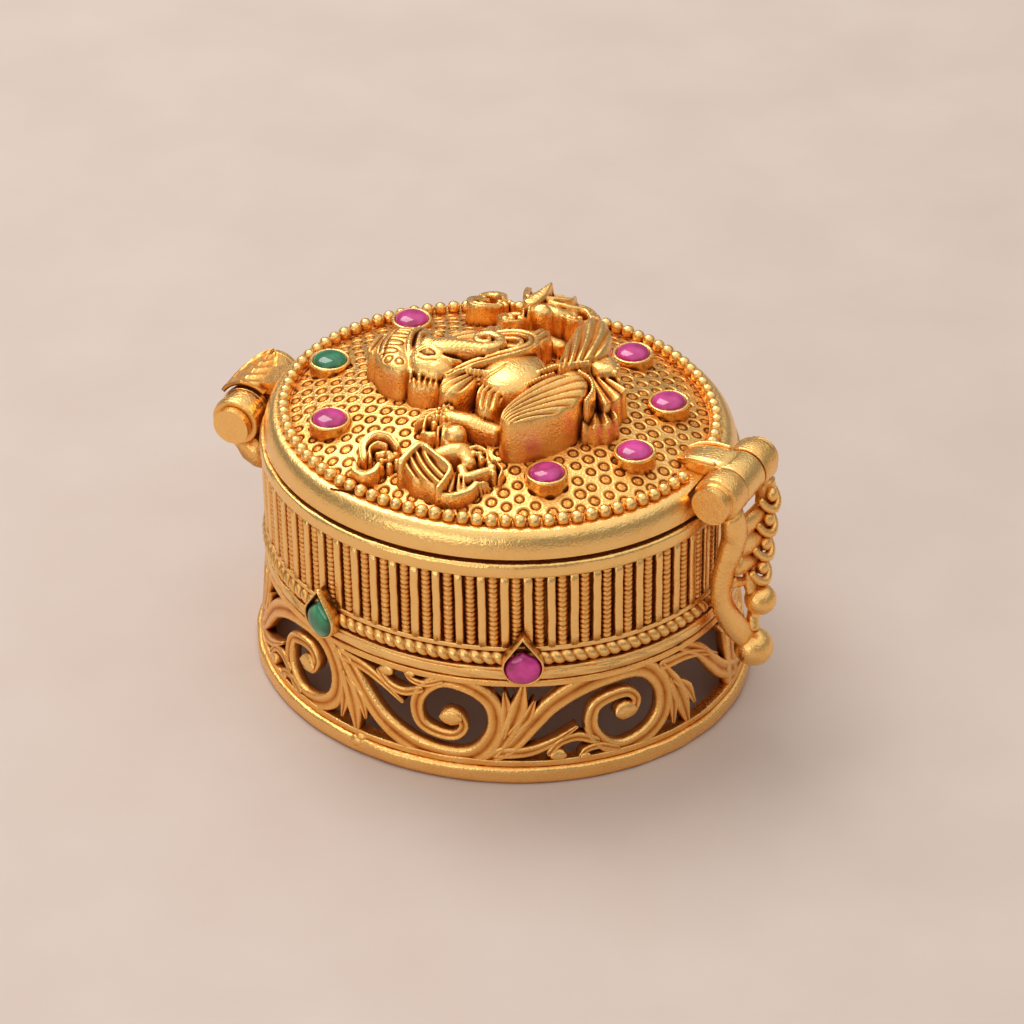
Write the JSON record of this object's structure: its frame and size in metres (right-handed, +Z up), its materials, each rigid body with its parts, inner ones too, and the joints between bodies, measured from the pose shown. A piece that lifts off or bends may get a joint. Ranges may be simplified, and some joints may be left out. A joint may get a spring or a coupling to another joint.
{
  "type": "sindoor box",
  "caption": "Small oval gilt brass powder box with an openwork stand, a hinged domed lid with a relief figure and coloured stones, and a swinging clasp.",
  "frame": {"origin": "centre of the oval on the plane that the base ring stands on", "axes": "+Z up; +X along the oval's long axis from the hinge to the clasp; +Y to the far long side"},
  "size_m": [0.0624, 0.0482, 0.0384],
  "materials": {
    "gilt_brass": "polished, with an aged dark red-brown in the recesses",
    "pink_glass": "polished cabochon",
    "green_glass": "polished cabochon"
  },
  "bodies": {
    "box": {"base_ring": "gilt_brass", "scroll_gallery": "gilt_brass", "moulding_ring": "gilt_brass", "rope_border": "gilt_brass", "bar_band": "gilt_brass", "milled_wires": "gilt_brass", "cup_wall": "gilt_brass", "cup_floor": "gilt_brass", "drop_collars": "gilt_brass", "drop_stones_pink": "pink_glass", "drop_stones_green": "green_glass", "hinge_bracket": "gilt_brass", "hinge_pin": "gilt_brass"},
    "lid": {"lid_rim": "gilt_brass", "lid_lip": "gilt_brass", "lid_dome": "gilt_brass", "bead_border": "gilt_brass", "stone_collars": "gilt_brass", "lid_stones_pink": "pink_glass", "lid_stone_green": "green_glass", "deity_figure": "gilt_brass", "attendant_near": "gilt_brass", "attendant_far": "gilt_brass", "hinge_tab": "gilt_brass", "hinge_leaf": "gilt_brass", "clasp_tab": "gilt_brass", "clasp_pin": "gilt_brass"},
    "clasp": {"clasp_lever": "gilt_brass", "clasp_finial_ball": "gilt_brass", "clasp_finger_ball": "gilt_brass", "clasp_leaf": "gilt_brass"}
  },
  "joints": [
    {"name": "lid_hinge", "type": "hinge", "parent": "box", "child": "lid", "pos_m": [-0.028, 0, 0.025], "axis": [0, -1, 0], "range_deg": [0, 105]},
    {"name": "clasp_hinge", "type": "hinge", "parent": "lid", "child": "clasp", "pos_m": [0.0267, -0.00175, 0.029], "axis": [-0.1392, -0.9903, 0], "range_deg": [0, 110]}
  ]
}
